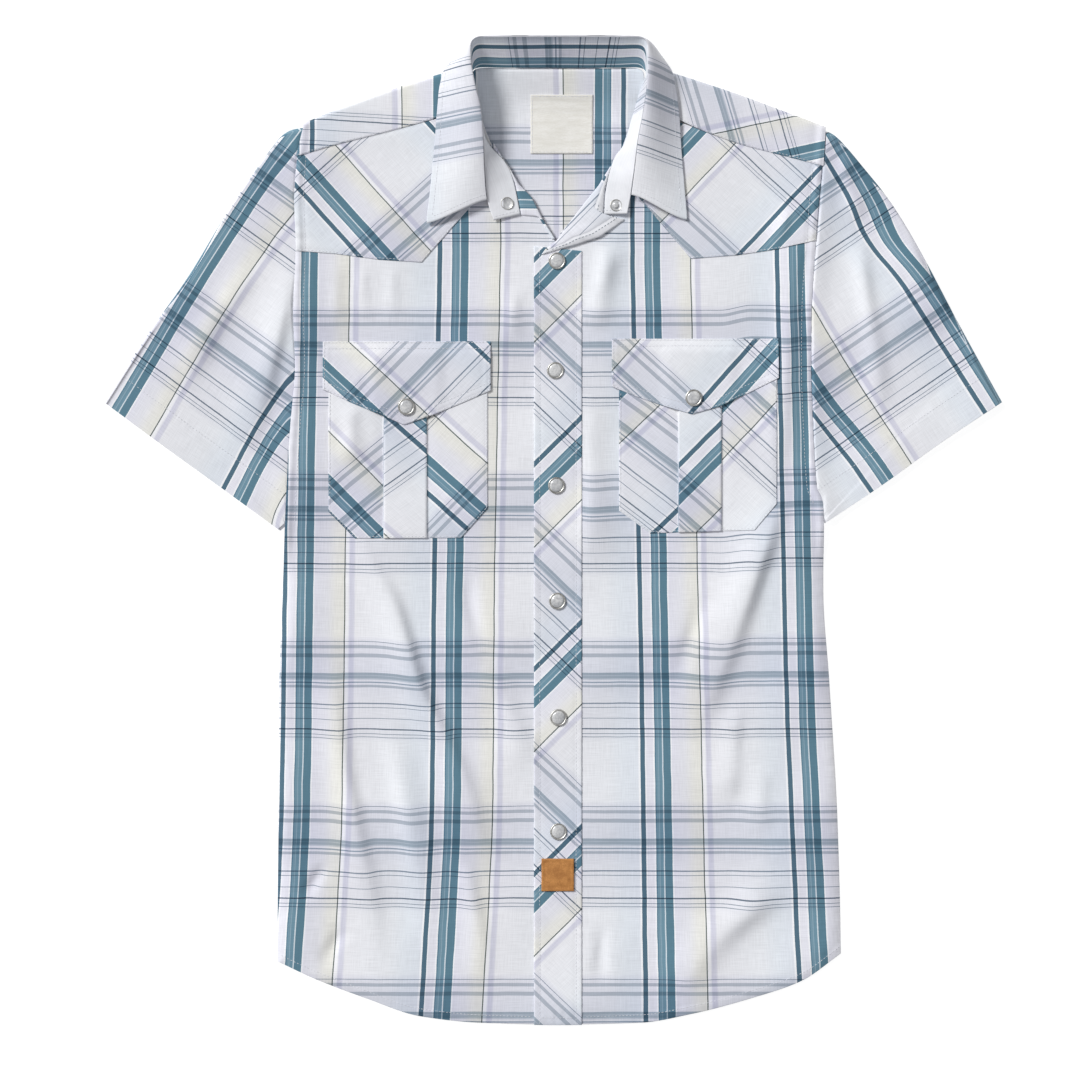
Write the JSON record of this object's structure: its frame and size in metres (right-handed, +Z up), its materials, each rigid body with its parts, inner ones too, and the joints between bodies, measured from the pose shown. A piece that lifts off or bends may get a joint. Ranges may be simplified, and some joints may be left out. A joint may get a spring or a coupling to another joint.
{
  "type": "short-sleeved western snap shirt, laid flat",
  "caption": "Short-sleeved plaid western shirt laid flat on its back, with pointed yokes, flap pockets, an open collar and a bias snap placket.",
  "frame": {"origin": "on the surface that the shirt lies on, under the centre-front line, about level with the pocket bottoms", "axes": "+Y from the hem towards the collar, +X towards the right as seen from above, +Z up off the surface"},
  "size_m": [0.7006, 0.7714, 0.0298],
  "materials": {
    "plaid_poplin": "white cotton poplin with slate-blue, grey and pale yellow woven stripes",
    "bias_poplin": "the same plaid poplin cut on the bias",
    "pearl_snap": "pearl cap in a bright metal rim",
    "tan_leather": "smooth tan leather with a pressed border",
    "label_tape": "cream woven tape"
  },
  "bodies": {
    "root": {"back_panel": "plaid_poplin", "back_yoke": "plaid_poplin", "front_left": "plaid_poplin", "front_right": "plaid_poplin", "front_yoke_left": "bias_poplin", "front_yoke_right": "bias_poplin", "lapel_left": "plaid_poplin", "lapel_right": "plaid_poplin", "sleeve_left": "plaid_poplin", "sleeve_right": "plaid_poplin", "collar_stand": "plaid_poplin", "collar_leaf": "plaid_poplin", "placket": "bias_poplin", "pocket_left": "bias_poplin", "pocket_right": "bias_poplin", "pocket_flap_left": "bias_poplin", "pocket_flap_right": "bias_poplin", "placket_snap_1": "pearl_snap", "placket_snap_2": "pearl_snap", "placket_snap_3": "pearl_snap", "placket_snap_4": "pearl_snap", "placket_snap_5": "pearl_snap", "placket_snap_6": "pearl_snap", "pocket_snap_left": "pearl_snap", "pocket_snap_right": "pearl_snap", "collar_snap_left": "pearl_snap", "collar_snap_right": "pearl_snap", "leather_patch": "tan_leather", "neck_label": "label_tape"}
  },
  "joints": []
}
